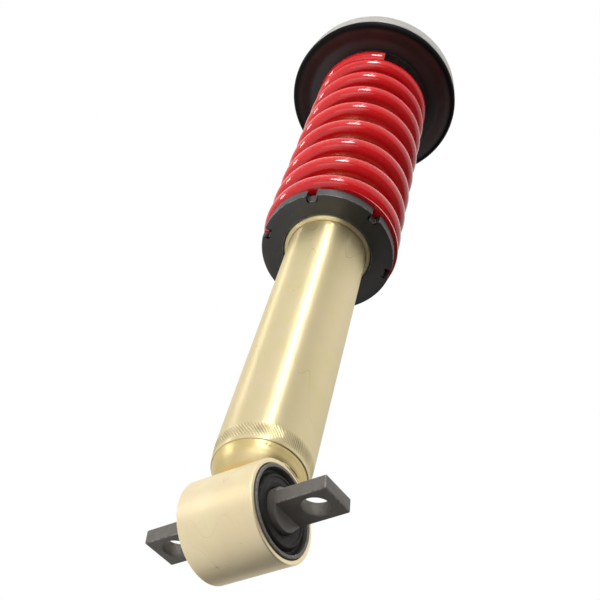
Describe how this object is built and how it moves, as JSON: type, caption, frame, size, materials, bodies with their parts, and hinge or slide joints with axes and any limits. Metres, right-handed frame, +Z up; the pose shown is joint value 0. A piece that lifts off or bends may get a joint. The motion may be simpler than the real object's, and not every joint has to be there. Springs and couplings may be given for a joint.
{
  "type": "coilover",
  "caption": "Truck coilover: oil damper with a lower cross pin, threaded perch, red coil spring and a rubber-bushed upper mount with studs.",
  "frame": {"origin": "centre of the bounding box at its bottom: on the damper axis, at the height of the lower eye's lowest line", "axes": "+Z up the damper axis from the lower eye to the upper mount; +X along the cross pin"},
  "size_m": [0.136, 0.136, 0.556],
  "materials": {
    "zinc_gold": "satin yellow zinc plate over drawn steel",
    "satin_black": "satin black coat",
    "spring_red": "gloss red powder coat",
    "pin_phosphate": "dark phosphated forging, dull",
    "mount_grey": "pale grey coat, satin",
    "rubber_black": "moulded black rubber",
    "rod_chrome": "hard chrome, ground",
    "bare_steel": "plain zinc plate",
    "sintered_iron": "sintered iron, machined",
    "wear_band": "bronze-filled plastic",
    "stop_foam": "microcellular foam"
  },
  "bodies": {
    "damper_body": {"lower_eye": "zinc_gold", "bushing_sleeve": "pin_phosphate", "bushing_rubber": "rubber_black", "base_cap": "zinc_gold", "body_tube": "zinc_gold", "base_valve": "bare_steel", "pressure_tube": "bare_steel", "rod_guide": "sintered_iron", "rod_seal": "rubber_black", "gland_cap": "zinc_gold", "threaded_sleeve": "zinc_gold"},
    "pin": {"cross_pin": "pin_phosphate"},
    "perch": {"perch_seat": "satin_black", "coil_spring": "spring_red"},
    "nut": {"perch_nut": "satin_black", "lock_screw": "bare_steel"},
    "upper": {"spring_isolator": "rubber_black", "upper_seat": "satin_black", "bump_stop": "stop_foam", "bump_cup": "bare_steel"},
    "strut_top": {"piston_rod": "rod_chrome", "piston": "sintered_iron", "piston_band": "wear_band", "piston_nut": "bare_steel", "rebound_stop": "rubber_black", "mount_plate": "mount_grey", "bearing_ring": "wear_band", "mount_rubber": "rubber_black", "mount_washer_lower": "bare_steel", "stem_rubber_lower": "rubber_black", "stem_rubber_upper": "rubber_black", "mount_washer_upper": "bare_steel", "mount_spacer": "bare_steel", "rod_nut": "bare_steel", "mount_stud_1": "bare_steel", "mount_stud_2": "bare_steel", "mount_stud_3": "bare_steel"}
  },
  "joints": [
    {"name": "pin_swing", "type": "hinge", "parent": "damper_body", "child": "pin", "pos_m": [0, 0, 0.0249], "axis": [1, 0, 0], "range_deg": [-15, 15], "stiffness_Nm_per_rad": 1.5},
    {"name": "perch_lift", "type": "slide", "parent": "damper_body", "child": "perch", "axis": [0, 0, 1], "range_m": [0, 0.03]},
    {"name": "nut_turn", "type": "hinge", "parent": "perch", "child": "nut", "pos_m": [0, 0, 0.2666], "axis": [0, 0, 1], "range_deg": [0, 5401]},
    {"name": "damper_stroke", "type": "slide", "parent": "perch", "child": "upper", "axis": [0, 0, 1], "range_m": [-0.095, 0], "stiffness_N_per_m": 118000, "deforming": ["coil_spring", "bump_stop"]},
    {"name": "mount_turn", "type": "hinge", "parent": "upper", "child": "strut_top", "pos_m": [0, 0, 0.52], "axis": [0, 0, 1], "continuous": true}
  ],
  "couplings": [
    {"joint": "nut_turn", "follows": "perch_lift", "rad_per_m": 3141.6}
  ]
}
